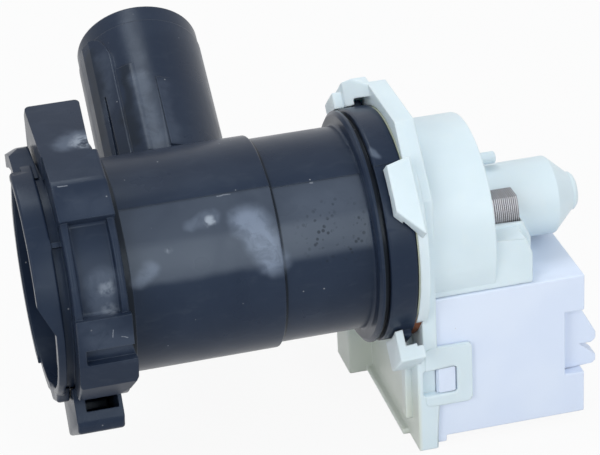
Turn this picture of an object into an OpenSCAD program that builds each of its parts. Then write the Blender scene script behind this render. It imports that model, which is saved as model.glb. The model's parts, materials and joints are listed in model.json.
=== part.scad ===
// Washer drain pump: filter housing with a twist-on synchronous pump head.
// Millimetres, +Z up. The pump axis is the X axis and the filter mouth is at X = 0.
// Angles around the axis start at the front (-Y) and grow upwards over the top.

/* [Filter housing] */
// Outer radius of the filter barrel
barrel_r = 34; // [30:0.5:40]
// Outer radius of the neck between barrel and pump
neck_r = 32.6; // [28:0.2:33]
// Wall thickness of the housing
housing_wall = 2.6; // [1.8:0.2:3.4]
// Outer radius of the mouth rim
rim_r = 37.8; // [36.5:0.2:40]
// Width of the mouth rim
rim_w = 2.5; // [2:0.5:4]
// Width of the groove behind the rim
rim_groove_w = 3; // [2:0.5:5]
// Radius at the bottom of the rim groove
rim_groove_r = 35.9; // [35.3:0.1:36.4]
// How far the shroud stands out past the mouth
shroud_out = 4.7; // [2:0.1:8]
// Height of the two key lands on the rim
key_land_h = 3.6; // [2:0.1:4.4]
// Depth of the filter socket behind the mouth
socket_depth = 20; // [10:1:22]
// Radius of the filter socket
socket_r = 34.6; // [33.5:0.1:35]
// Width of the lug ring
ring_w = 16.8; // [14:0.2:22]
// Radius of the band between the lugs
ring_band_r = 40; // [38.6:0.2:41]
// Outer radius of the lug ring flanges
ring_flange_r = 43; // [41.6:0.2:44]
// Thickness of each lug ring flange
ring_flange_t = 2.4; // [1.6:0.2:4]
// Outer radius of the locating blocks
block_r = 44.6; // [43.2:0.2:47]
// Gap between the lug ring and the barrel
ring_gap = 2.7; // [1.5:0.1:4]
// Length of the barrel
barrel_l = 47.5; // [42:0.5:60]
// Length of the neck
neck_l = 29.1; // [28:0.1:36]
// Height of the raised half of the barrel above the parting line
parting_step = 0.35; // [0.1:0.05:0.6]
// Angle of the parting line on the barrel
parting_angle = 57.5; // [45:0.5:75]
// Radius of the eye between the filter chamber and the pump chamber
eye_r = 14; // [10:0.5:18]
// Thickness of the wall with the eye
eye_wall = 3; // [2:0.2:4]

/* [Support tab and loop] */
// Top of the support tab above the axis
tab_top = 47.6; // [46.6:0.2:52]
// How far the support tab reaches back from the axis
tab_back = 25.6; // [20:0.2:28]
// Angle of the strap loop
loop_angle = -58; // [-66:1:-52]
// Radius of the inner face of the strap
loop_inner_r = 43.8; // [43:0.2:45]
// Thickness of the strap
loop_t = 6.6; // [4:0.2:8]
// Width of the strap around the ring
loop_w = 29; // [20:1:34]
// Thickness of the wall that carries the strap
loop_wall = 3.4; // [2:0.2:5]
// Length of the strap along the axis
loop_l = 14.9; // [12:0.1:17]

/* [Hose spigots] */
// Outer radius of the inlet spigot
inlet_r = 20.4; // [17:0.2:21]
// Wall of the inlet spigot
inlet_wall = 2.5; // [1.8:0.1:4]
// Distance of the inlet mouth from the pump axis
inlet_reach = 91; // [80:1:110]
// Place of the inlet along the pump axis
inlet_x = 47.8; // [46:0.2:52]
// Slope of the inlet above the horizontal
inlet_slope = 23; // [10:1:40]
// Lean of the inlet towards the pump
inlet_lean = 2.9; // [0:0.1:5]
// Length of the inlet that the hose seats on
inlet_seat_l = 7; // [5:0.5:10]
// Height of the step behind the inlet's hose seat
inlet_step = 0.3; // [0.15:0.05:0.6]
// Height of the ribs on the inlet
rib_h = 1.6; // [0.8:0.1:3]
// Outer radius of the outlet spigot
outlet_r = 10.5; // [8.5:0.25:11]
// Wall of the outlet spigot
outlet_wall = 2; // [1.4:0.1:3]
// Distance of the outlet mouth from the pump axis
outlet_reach = 70; // [52:1:85]
// Length of the outlet that the hose seats on
outlet_seat_l = 30; // [20:1:34]
// Height of the step behind the outlet's hose seat
outlet_step = 0.5; // [0.3:0.05:1]

/* [Bayonet] */
// Outer radius of the pump collar
collar_r = 37.6; // [36.4:0.1:38.2]
// Height of the raised top half of the collar
collar_step = 0.3; // [0.1:0.05:0.4]
// Length of the pump collar
collar_l = 12.5; // [11.8:0.1:14]
// Radius at the bottom of the collar groove
collar_groove_r = 35.4; // [34.6:0.1:36]
// Width of the collar groove
collar_groove_w = 1.8; // [1.2:0.1:3]
// Thickness of the collar's first bead
collar_bead_w = 1.7; // [1.2:0.1:2.4]
// Height of the lock lugs above the collar
lug_h = 2.5; // [1.5:0.1:3]
// Half angle of a lock lug
lug_half = 9; // [6:0.5:11]
// Width of a lock lug
lug_w = 2.8; // [2:0.1:3]
// Running clearance between the pump head and the collar
bayonet_gap = 0.4; // [0.3:0.05:0.6]
// Angle of the first hook
hook_angle = 41.5; // [40:0.5:43]
// Tangential width of a hook
hook_w = 15; // [12:0.5:16]
// How far a hook stands out of the flange
hook_reach = 6.9; // [6.4:0.1:7.4]
// Thickness of the lip of a hook
lip_t = 2.4; // [2:0.1:2.6]
// Outer wall thickness of a hook
hook_wall = 2.6; // [1.6:0.1:4]
// Outer wall thickness of the lowest front hook
shelf_wall = 4.2; // [3:0.1:6]

/* [Pump cover] */
// Thickness of the flange with its rim
flange_t = 6.6; // [5:0.2:8]
// Thickness of the flange web
flange_web = 3.4; // [3:0.1:4]
// Width of the flange rim
flange_rim = 2.4; // [1.5:0.1:3]
// Front edge of the flange from the axis
flange_front = 31; // [30:0.2:33]
// Top edge of the flange above the axis
flange_top = 41.2; // [40:0.2:44]
// Rear edge of the flange from the axis
flange_back = 37; // [35:0.5:42]
// Foot level below the axis
foot_drop = 69.4; // [68.6:0.2:76]
// Rear edge of the rear foot from the axis
foot_back = 38.6; // [38:0.2:42]
// Width of the rear foot
foot_w = 15.5; // [10:0.5:18]
// How far the rear foot stands out of the flange
foot_out = 8.4; // [4:0.1:8.6]
// Depth of the front pillar
pillar_d = 10.5; // [7:0.5:14]
// Outer radius of the cup behind the flange
cup_r = 31.4; // [31.2:0.1:33]
// Wall of the cup
cup_wall = 2.5; // [2:0.1:3]
// Length of the cup behind the flange
cup_l = 20.5; // [18:0.5:22]
// Outer radius of the rotor can
can_r = 12.8; // [12.2:0.1:13]
// Wall of the rotor can
can_wall = 1.2; // [0.8:0.1:1.6]
// Length of the can behind the cup
can_l = 27.6; // [25:0.2:32]
// Length of the cone behind the can
cone_l = 7; // [5:0.2:9]
// Radius of the tip behind the cone
tip_r = 6.3; // [5.5:0.1:7]
// Length of the tip
tip_l = 1.8; // [1.2:0.2:4]

/* [Motor] */
// Thickness of one core sheet
sheet_t = 0.56; // [0.4:0.02:0.6]
// Spacing of the core sheets
sheet_pitch = 0.65; // [0.62:0.01:0.66]
// Number of core sheets
sheet_count = 18; // [12:1:18]
// Radial thickness of the pole around the can
pole_t = 5.2; // [4:0.1:6]
// Clearance between the can and the core
core_gap = 0.35; // [0.2:0.05:0.6]
// Inner edge of a core leg from the middle
leg_in = 9; // [8:0.25:10]
// Height of the core yoke
yoke_h = 9; // [7:0.5:10]
// Wall of the coil bobbins
bobbin_wall = 1.2; // [0.8:0.1:1.4]
// Thickness of the winding on a bobbin
winding_t = 4.6; // [3:0.1:4.8]
// Clearance between nested motor pieces
motor_gap = 0.3; // [0.15:0.05:0.4]

/* [Coil case] */
// Front and rear face of the case from the axis
case_half = 29.5; // [28.5:0.25:30]
// Top face of the case below the axis
case_top = 15; // [14:0.5:17]
// Bottom face of the case below the axis
case_bottom = 66; // [64.5:0.5:68.5]
// Length of the case
case_l = 50.2; // [48:0.2:56]
// Wall of the case
case_wall = 1.8; // [1.4:0.1:2]
// Depth of the plug recess
plug_depth = 6.6; // [5:0.2:7]
// Height of the plug recess
plug_h = 23; // [20:0.5:25]
// Middle of the plug recess below the axis
plug_drop = 39.5; // [36:0.5:42]
// Length of the plug guide ahead of the case
guide_out = 5.2; // [2:0.2:6]
// Width of a spade terminal
spade_w = 6.3; // [4.8:0.1:6.4]
// Thickness of a spade terminal
spade_t = 0.8; // [0.5:0.1:1]

/* [Rotor and impeller] */
// Radius of the rotor shaft
shaft_r = 2.5; // [2:0.1:2.8]
// Running clearance of the shaft in its bearings
run_gap = 0.05; // [0.02:0.01:0.09]
// Running clearance between rotor and can
rotor_gap = 0.6; // [0.4:0.05:0.9]
// Length of the rotor magnet
magnet_l = 18; // [14:0.5:18]
// Radius of the magnet's bore
magnet_bore_r = 6; // [5:0.1:7]
// Outer radius of the bearings
bearing_r = 4.5; // [3.8:0.1:4.8]
// Length of the front bearing
front_bearing_l = 7.2; // [6:0.2:8]
// Length of the rear bearing
rear_bearing_l = 5.4; // [4:0.2:6]
// Thickness of the front bearing's rubber mount
front_rubber_t = 2.8; // [2:0.1:4]
// Thickness of the rear bearing's rubber mount
rear_rubber_t = 1.7; // [1:0.1:1.8]
// Thickness of the bearing carrier
carrier_t = 5; // [4:0.2:6]
// Thickness of a thrust washer
washer_t = 0.8; // [0.5:0.1:1.2]
// Outer radius of the impeller
impeller_r = 25; // [20:0.5:27]
// Number of impeller vanes
vane_count = 5; // [4:1:7]
// Width of the impeller vanes along the axis
vane_w = 12.6; // [9:0.2:14]
// Thickness of an impeller vane
vane_t = 2; // [1.4:0.1:3]
// Thickness of the impeller disc
disc_t = 1.5; // [1:0.1:2]
// Outer radius of the impeller hub
hub_r = 10; // [9.2:0.1:11]
// Wall of the impeller hub
hub_wall = 1.8; // [1.2:0.1:2.2]
// Length of the impeller hub
hub_l = 10.6; // [9.6:0.2:12]
// Length of the drive dog
dog_l = 5.9; // [4:0.1:6]
// Angle covered by the drive dog's key
dog_angle = 60; // [40:5:80]
// Angle covered by the impeller's stop
stop_angle = 110; // [80:5:120]

/* [Hidden] */
$fn = 96;

// A cut reaches this far past the face it opens
cut = 1;
// Pieces that are seated against each other keep this much room
seat = 0.03;

// Stations along the pump axis
ring_x0 = rim_w + rim_groove_w;
ring_x1 = ring_x0 + ring_w;
barrel_x0 = ring_x1 + ring_gap;
neck_x0 = barrel_x0 + barrel_l;
collar_x0 = neck_x0 + neck_l;
collar_x1 = collar_x0 + collar_l;
collar_land_x0 = collar_x0 + collar_bead_w + collar_groove_w;
flange_x0 = collar_x1 + bayonet_gap;
lip_x0 = flange_x0 - hook_reach;
web_x1 = flange_x0 + flange_web;
flange_x1 = flange_x0 + flange_t;
cup_x1 = flange_x1 + cup_l;
can_x1 = cup_x1 + can_l;
cone_x1 = can_x1 + cone_l;
tip_x1 = cone_x1 + tip_l;

// Filter chamber and pump chamber
chamber_r = barrel_r - housing_wall;
pump_chamber_r = neck_r - housing_wall;
bore_step_x = neck_x0 - sign(barrel_r - neck_r) * housing_wall;
outlet_bore_r = outlet_r - outlet_wall;
outlet_root_r = outlet_r + outlet_step;
outlet_seat_y = outlet_reach - outlet_seat_l;
outlet_x = lip_x0 - outlet_root_r - 2 * bayonet_gap;
outlet_margin = 0.6;
pump_chamber_x0 = outlet_x - outlet_bore_r - outlet_margin;
eye_x0 = pump_chamber_x0 - eye_wall;
outlet_z = outlet_bore_r - pump_chamber_r + outlet_margin;
inlet_bore_r = inlet_r - inlet_wall;
inlet_root_r = inlet_r + inlet_step;
inlet_seat_t = inlet_reach - inlet_seat_l;

// Lug ring
ring_root_step = 0.6;
ring_root_r = barrel_r + ring_root_step;
block_from = 49;
block_to = 83;
block_fold = (block_from + block_to) / 2;
block_proud = 0.2;
block_x0 = ring_x0 - block_proud;
block_x1 = ring_x1 + block_proud;
low_block_from = -38;
low_block_to = 9;
low_slot_from = -12;
low_slot_to = -4.5;
low_slot_depth = 3;
low_slot_wall = 2.2;
shroud_bore_r = rim_r - housing_wall;
shroud_slant = 15;
far_lip_to = 255;
far_lip_out = 0.8;
collar_step_from = 56;
collar_step_to = 122;

// Bayonet
lug_r = collar_r + lug_h;
lip_r = collar_r + collar_step + bayonet_gap;
lip_x1 = lip_x0 + lip_t;
lug_x0 = lip_x1 + bayonet_gap;
pocket_r = lug_r + bayonet_gap;
shelf_r = pocket_r + 2.9;
hook_angles = [for (i = [0 : 3]) hook_angle + 90 * i];
hook_depths = [pocket_r, pocket_r, pocket_r, shelf_r];
hook_walls = [hook_wall, hook_wall + 2.8, hook_wall, shelf_wall];
hook_skirt = 8.5;
hook_crown = 2;
lower_hook = 3;

// Seal of the pump head
seal_r0 = 33;
seal_r1 = collar_r - bayonet_gap;
seat_r = collar_r + collar_step;
seal_x1 = flange_x0 + 2;

// Cup, carrier and bearings
cup_bore_r = cup_r - cup_wall;
can_bore_r = can_r - can_wall;
carrier_x0 = web_x1 + 1.2;
carrier_x1 = carrier_x0 + carrier_t;
carrier_r = cup_bore_r - seat;
carrier_ledge = 1;
carrier_seal_h = 1.4;
carrier_seal_w = 1.6;
carrier_seal_x0 = (carrier_x0 + carrier_x1 - carrier_seal_w) / 2;
bearing_bore_r = shaft_r + run_gap;
front_mount_r = bearing_r + front_rubber_t;
rear_mount_r = bearing_r + rear_rubber_t;
front_bearing_x0 = carrier_x1 - front_bearing_l;
rear_pocket_x0 = can_x1 - rear_bearing_l;
rear_pocket_r = rear_mount_r + seat;

// Rotor
magnet_x0 = cup_x1 + (sheet_count * sheet_pitch - magnet_l) / 2 + motor_gap;
magnet_x1 = magnet_x0 + magnet_l;
magnet_r = can_bore_r - rotor_gap;
core_flange_t = 1.2;
rotor_x0 = carrier_x1 + washer_t + 3 * run_gap;
rotor_x1 = magnet_x1 + core_flange_t + run_gap;
rotor_sleeve_r = 4.4;

// Impeller
impeller_x1 = front_bearing_x0 - washer_t - 3 * run_gap;
hub_x0 = impeller_x1 - hub_l;
hub_floor = hub_l - dog_l - 2;
hub_floor_x0 = impeller_x1 - hub_floor;
dog_x1 = hub_floor_x0 - 2 * run_gap;
dog_x0 = dog_x1 - dog_l;
hub_bore_r = hub_r - hub_wall;
dog_r = shaft_r + 2.4;
dog_key_r = hub_bore_r - 0.4;
stop_r = dog_r + 0.4;
stop_gap_angle = 2;
hub_cover_t = 1.6;
vane_root_r = hub_r - 0.6;
hub_cover_r = vane_root_r - motor_gap;

// Core and coil case
core_x0 = cup_x1 + motor_gap;
core_x1 = core_x0 + (sheet_count - 1) * sheet_pitch + sheet_t;
core_bore_r = can_r + core_gap;
pole_r = core_bore_r + pole_t;
pole_tip_angle = 32;
core_bottom = -case_bottom + case_wall + motor_gap;
case_x0 = flange_x1 + 0.2;
case_x1 = case_x0 + case_l;
cup_room_r = cup_r + motor_gap;
cup_room_x1 = cup_x1 + motor_gap;
bobbin_top = -cup_room_r - case_wall - motor_gap;
bobbin_bottom = core_bottom + yoke_h + motor_gap;
leg_mid = (leg_in + pole_r) / 2;
saddle_wall = 1.8;
saddle_top = 2.6;

// Place on the plane across the axis at radius r and angle a, as [Y, Z]
function around(r, a) = [-r * cos(a), r * sin(a)];

// Turns a profile of [radius, X] points about the pump axis from angle a0 to a1
module spin(a0 = 0, a1 = 360) {
    rotate([0, 90, 0])
        rotate([0, 0, -90 - a1])
            rotate_extrude(angle = a1 - a0)
                children();
}

// Ring about the pump axis
module ring(r0, r1, x0, x1, a0 = 0, a1 = 360) {
    spin(a0, a1)
        translate([r0, x0])
            square([r1 - r0, x1 - x0]);
}

// Cylinder on the pump axis
module rod(r, x0, x1) {
    translate([x0, 0, 0])
        rotate([0, 90, 0])
            cylinder(r = r, h = x1 - x0);
}

// Cylinder across the pump axis, along Y
module cross_rod(r, x, z, y0, y1) {
    translate([x, y0, z])
        rotate([-90, 0, 0])
            cylinder(r = r, h = y1 - y0);
}

// Outline on the Y-Z plane pushed from x0 to x1
module slab(x0, x1) {
    translate([x0, 0, 0])
        rotate([90, 0, 90])
            linear_extrude(x1 - x0)
                children();
}

// Turns a piece that was built upwards so that it points out at an angle
module at_angle(a) {
    rotate([90 - a, 0, 0])
        children();
}

// Block by its lowest and highest corner
module block(p0, p1) {
    translate(p0)
        cube(p1 - p0);
}

// Outline with rounded corners, by its lowest and highest corner
module round_rect(p0, p1, r) {
    translate(p0 + [r, r])
        offset(r)
            square(p1 - p0 - [2 * r, 2 * r]);
}

// Frame of the inlet spigot: its axis becomes +Z
module inlet_frame() {
    translate([inlet_x, 0, 0])
        rotate([inlet_slope - 90, 0, 0])
            rotate([0, inlet_lean, 0])
                children();
}

// Outer skin of the turned part of the housing
module housing_turning() {
    spin()
        polygon([
            [0, -shroud_out], [rim_r, -shroud_out], [rim_r, rim_w], [rim_groove_r, rim_w],
            [rim_groove_r, ring_x0], [ring_band_r, ring_x0], [ring_band_r, ring_x1],
            [ring_root_r, ring_x1], [ring_root_r, barrel_x0], [barrel_r, barrel_x0],
            [barrel_r, neck_x0], [neck_r, neck_x0], [neck_r, collar_x0],
            [collar_r - 1.2, collar_x0], [collar_r, collar_x0 + collar_bead_w / 2],
            [collar_r, collar_x0 + collar_bead_w], [collar_groove_r, collar_x0 + collar_bead_w],
            [collar_groove_r, collar_land_x0], [collar_r, collar_land_x0],
            [collar_r, collar_x1], [0, collar_x1]
        ]);
}

// Raised half of the barrel and neck above the parting line
module parting_band() {
    ring(barrel_r - 1, barrel_r + parting_step, barrel_x0, neck_x0, parting_angle, parting_angle + 180);
    ring(
        neck_r - 1, neck_r + parting_step, neck_x0 - cut, collar_x0 + collar_bead_w / 2,
        parting_angle, parting_angle + 180
    );
}

// Raised top half of the collar
module collar_band() {
    ring(collar_r - 1, collar_r + collar_step, collar_land_x0, collar_x1, collar_step_from, collar_step_to);
}

// Room beside the shroud: it covers the near half of the mouth, ends on a slant and leaves a low far lip
module shroud_room() {
    slant_z = rim_r * sin(shroud_slant);
    lip_y = around(rim_r, far_lip_to)[0];
    reach = 2 * rim_r;
    translate([0, lip_y, 0])
        rotate([90, 0, 0])
            linear_extrude(reach)
                polygon([
                    [-shroud_out - cut, slant_z], [-shroud_out, slant_z], [0, 0], [0, -reach],
                    [-shroud_out - cut, -reach]
                ]);
    slab(-shroud_out - cut, -far_lip_out)
        polygon([
            [0, 0], [0, reach], [reach, reach], [reach, -reach], [lip_y - cut, -reach], [lip_y - cut, 0]
        ]);
}

// Key lands on the rim: a tall one on the top and a flat one underneath
module key_lands() {
    intersection() {
        slab(-shroud_out, rim_w + rim_groove_w / 2)
            polygon([
                around(rim_r - 1.4, 85), around(rim_r + key_land_h * 0.7, 105),
                around(rim_r + key_land_h + 1, 112), around(rim_r + key_land_h + 1, 120),
                around(rim_r - 1.4, 124)
            ]);
        spin()
            polygon([
                [rim_r - 2, -shroud_out + 1.6], [rim_r + key_land_h * 0.6, -shroud_out + 1.6],
                [rim_r + key_land_h, -shroud_out + 5], [rim_r + key_land_h, ring_x0], [rim_r - 2, ring_x0]
            ]);
    }
    slab(0, rim_w + rim_groove_w / 2)
        polygon([
            around(rim_r - 1.4, -46), around(rim_r + key_land_h * 0.5, -56),
            around(rim_r + key_land_h * 0.5, -72), around(rim_r - 1.4, -82)
        ]);
    ring(rim_groove_r - 1, rim_r - 0.3, rim_w - 0.5, ring_x0 + 0.5, 41.5, 44);
}

// Flanges of the lug ring
module ring_flanges() {
    ring(ring_band_r - 1, ring_flange_r, ring_x0, ring_x0 + ring_flange_t, low_block_to - 2, block_fold);
    ring(ring_band_r - 1, ring_flange_r - 1, ring_x1 - ring_flange_t, ring_x1, low_block_to - 2, block_fold);
}

// Faceted locating block above the front
module upper_block() {
    slab(block_x0, block_x1)
        polygon([
            around(ring_band_r - 3, block_from), around(block_r, block_from),
            around(block_r, block_fold), around(block_r, block_to), around(ring_band_r - 3, block_to)
        ]);
}

// Locating block at the front with its cross slot and slanted lower end
module lower_block() {
    difference() {
        slab(block_x0, ring_x1 + 1.2)
            polygon([
                around(ring_band_r - 3, low_block_to), around(block_r, low_block_to),
                around(block_r - 0.5, low_slot_to + 1), around(block_r - 0.6, low_slot_from - 1),
                around(block_r - 0.4, low_block_from / 2 + low_slot_from / 2),
                around(block_r - 1.6, low_block_from), around(ring_band_r - 3, low_block_from)
            ]);
        ring(
            block_r - low_slot_depth, block_r + cut, ring_x0 + low_slot_wall, ring_x1 + 2 * cut,
            low_slot_from, low_slot_to
        );
        translate([0, -barrel_r / 2, 0])
            rotate([90, 0, 0])
                linear_extrude(block_r)
                    polygon([
                        [ring_x1 + 4, 20], [block_x1, 20], [block_x1, -6], [ring_x1 + 1.2, -10],
                        [ring_x1 + 1.2, -17], [ring_x1 - 1, -23], [ring_x1 - 4.8, -26.5],
                        [ring_x1 - 4.8, -40], [ring_x1 + 4, -40]
                    ]);
    }
}

// Flat support tab on the top of the ring, a little wider at its far end
module support_tab() {
    intersection() {
        slab(ring_x0 - 0.6, ring_x1 + 0.3)
            polygon([
                around(ring_band_r - 3, block_to - 2), around(block_r, block_to), [tab_back - 1, tab_top],
                [tab_back, tab_top - 1], [tab_back, ring_band_r * 0.7]
            ]);
        linear_extrude(tab_top + cut)
            polygon([
                [0, -barrel_r], [ring_x1 - 2, -barrel_r], [ring_x1 - 1.8, 0],
                [ring_x1 + 0.3, tab_back + cut], [0, tab_back + cut]
            ]);
    }
}

// Strap loop under the ring: a pocket that is open towards the front
module strap_loop() {
    loop_x0 = ring_x0 - 1;
    end_wall = 1.2;
    back_wall = 3;
    at_angle(loop_angle)
        difference() {
            block(
                [loop_x0, -loop_w * 0.72, ring_band_r - 4],
                [loop_x0 + loop_l, loop_w * 0.28, loop_inner_r + loop_t]
            );
            block(
                [loop_x0 + loop_wall, -loop_w * 0.72 + back_wall, ring_band_r],
                [loop_x0 + loop_l - end_wall, loop_w, loop_inner_r]
            );
            translate([loop_x0, loop_w * 0.28, loop_inner_r + loop_t])
                rotate([45, 0, 0])
                    cube([2 * (loop_l + cut), 3.6, 3.6], center = true);
        }
}

// Lock lugs of the bayonet
module lock_lugs() {
    for (a = hook_angles)
        ring(collar_r - 1, lug_r, lug_x0, lug_x0 + lug_w, a - lug_half, a + lug_half);
}

// Point of an outline across the inlet, by its height above the tube and its angle
function on_inlet(h, a) = (inlet_root_r + h) * [cos(a), sin(a)];

// Outline across the inlet, pushed along it up to a distance from the pump axis
module inlet_bar(to) {
    from = barrel_r - 6;
    translate([0, 0, from])
        linear_extrude(to - from)
            children();
}

// Outline on the side of the inlet, seen from an angle and pushed outwards
module inlet_side(a, from, to) {
    rotate([0, 0, a])
        slab(from, to)
            children();
}

// Broad rib with a rounded shoulder, slit from below
module broad_rib() {
    top = inlet_seat_t - 0.5;
    difference() {
        intersection() {
            inlet_bar(top)
                polygon([
                    on_inlet(-1, 198), on_inlet(0.6 * rib_h, 199.5), on_inlet(rib_h, 207),
                    on_inlet(rib_h, 217), on_inlet(0.55 * rib_h, 235), on_inlet(-1, 240)
                ]);
            inlet_side(219, inlet_bore_r + 0.1, inlet_root_r + 2 * rib_h)
                polygon([
                    [-12, 0], [12, 0], [12, top - 30], [7.5, top - 22], [7, top - 16], [6.3, top - 11],
                    [5, top - 6], [3.2, top - 2.3], [0.8, top - 0.3], [-3, top + 1], [-12, top + 1]
                ]);
        }
        inlet_side(222, inlet_root_r + 0.2, inlet_root_r + 2 * rib_h)
            polygon([[-1, 0], [1, 0], [0.25, top - 26.5], [-0.25, top - 26.5]]);
    }
}

// Ribs on the side of the inlet that faces forward
module inlet_ribs() {
    inlet_frame() {
        broad_rib();
        inlet_bar(inlet_seat_t - 18)
            polygon([
                on_inlet(-1, 236), on_inlet(0.25 * rib_h, 237), on_inlet(0.25 * rib_h, 251),
                on_inlet(-0.05, 256), on_inlet(-1, 256)
            ]);
        inlet_bar(inlet_seat_t - 26.5)
            polygon([
                on_inlet(-1, 270.5), on_inlet(0.6 * rib_h, 271), on_inlet(-0.05, 288), on_inlet(-1, 288)
            ]);
    }
}

module filter_housing() {
    color([0.20, 0.23, 0.28])
        difference() {
            union() {
                difference() {
                    housing_turning();
                    shroud_room();
                }
                parting_band();
                key_lands();
                collar_band();
                ring_flanges();
                upper_block();
                lower_block();
                support_tab();
                strap_loop();
                lock_lugs();
                inlet_ribs();
                inlet_frame() {
                    cylinder(r = inlet_root_r, h = inlet_seat_t);
                    translate([0, 0, inlet_seat_t - 5])
                        cylinder(r = inlet_r, h = inlet_seat_l + 5);
                }
                cross_rod(outlet_root_r, outlet_x, outlet_z, 0, outlet_seat_y);
                cross_rod(outlet_r, outlet_x, outlet_z, outlet_seat_y - 5, outlet_reach);
            }
            rod(shroud_bore_r, -shroud_out - cut, -far_lip_out / 2);
            rod(socket_r, -shroud_out - 2 * cut, socket_depth);
            rod(chamber_r, socket_depth - cut, bore_step_x);
            rod(pump_chamber_r, bore_step_x - cut / 2, eye_x0);
            rod(eye_r, eye_x0 - cut, pump_chamber_x0 + cut);
            rod(pump_chamber_r, pump_chamber_x0, collar_x1 + cut);
            inlet_frame()
                cylinder(r = inlet_bore_r, h = inlet_reach + cut);
            cross_rod(outlet_bore_r, outlet_x, outlet_z, 0, outlet_reach + cut);
        }
}

// Outline of the flange on the Y-Z plane
module flange_outline() {
    polygon([
        [-flange_front, -foot_drop], [foot_back, -foot_drop], [foot_back, -foot_drop + foot_w * 1.4],
        [flange_back, -foot_drop + foot_w * 2], [flange_back, flange_top * 0.55],
        [flange_back * 0.5, flange_top], [-flange_front * 0.42, flange_top],
        [-flange_front, flange_top * 0.52]
    ]);
}

// Hook of the bayonet, built upwards: the lock lug leaves it towards lower angles
module hook(closed, depth, wall) {
    difference() {
        translate([0, 0, lip_r - 1])
            linear_extrude(depth + wall - lip_r + 1)
                polygon([
                    [lip_x0, -hook_w / 2], [flange_x0 + cut, -hook_w / 2 - (closed ? hook_skirt : 0)],
                    [flange_x0 + cut, hook_w / 2 + hook_crown], [lip_x0, hook_w / 2]
                ]);
        ring(lip_r - 2 * cut, depth, lip_x1, flange_x0, 90 - 45, closed ? 90 + lug_half + 1.5 : 90 + 45);
        rod(lip_r, lip_x0 - cut, flange_x0);
    }
}

// Grip at the far end of the upper hook
module hook_grip() {
    at_angle(hook_angles[1])
        difference() {
            block(
                [lip_x0 - 3.2, -hook_w / 2 + 2, lip_r - 1],
                [lip_x0 + 1, hook_w / 2, pocket_r + hook_wall + 0.4]
            );
            rod(lip_r, lip_x0 - 4, flange_x0);
        }
}

// Rear foot: a block that stands out of the flange
module rear_foot() {
    slab(flange_x0 - foot_out, flange_x0 + cut)
        translate([foot_back - foot_w, -foot_drop])
            square([foot_w, foot_w * 1.4]);
}

// Snap strap that reaches along the case
strap_x1 = case_x0 + 11.6;
strap_z0 = -plug_drop - 13.5;
strap_z1 = -plug_drop + 8;
strap_t = 1.6;
window_x0 = flange_x0 + 1.7;
window_margin = 4;
module snap_strap() {
    block(
        [flange_x1 - 3.6, -case_half - 0.1 - strap_t / 2, strap_z0 + 2.3],
        [flange_x1 - 0.3, -flange_front + flange_rim, strap_z1 - 2.3]
    );
    translate([0, -case_half - 0.1, 0])
        rotate([90, 0, 0])
            linear_extrude(strap_t)
                difference() {
                    round_rect([flange_x1 - 4, strap_z0], [strap_x1, strap_z1], 2);
                    snap_window();
                }
}

module snap_window() {
    round_rect(
        [window_x0, strap_z0 + window_margin],
        [strap_x1 - window_margin - 1.2, strap_z1 - window_margin - 4],
        1
    );
}

// Saddles that hold the core legs against the can
module saddle(side) {
    y0 = leg_in - saddle_wall - motor_gap;
    y1 = pole_r + saddle_wall + motor_gap;
    y2 = case_half - 0.9;
    x1 = core_x1 + motor_gap + saddle_wall;
    base = -case_top + 0.2;
    mirror([0, side < 0 ? 1 : 0, 0])
        difference() {
            union() {
                translate([0, y1, 0])
                    rotate([90, 0, 0])
                        linear_extrude(y1 - y0)
                            polygon([
                                [cup_x1 - 1, base], [x1 + 1, base], [x1 + 1, saddle_top - 6],
                                [x1 - 1.6, saddle_top], [cup_x1 - 1, saddle_top]
                            ]);
                translate([0, y2, 0])
                    rotate([90, 0, 0])
                        linear_extrude(y2 - y0)
                            polygon([
                                [flange_x1 - 1, base], [x1 - 1.2, base], [x1 - 1.2, saddle_top - 7],
                                [x1 - 3.6, saddle_top - 1], [flange_x1 - 1, saddle_top - 1]
                            ]);
            }
            block(
                [core_x0 - motor_gap / 2, leg_in - motor_gap, -case_top - cut],
                [core_x1 + motor_gap, pole_r + motor_gap, saddle_top + cut]
            );
        }
}

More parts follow.
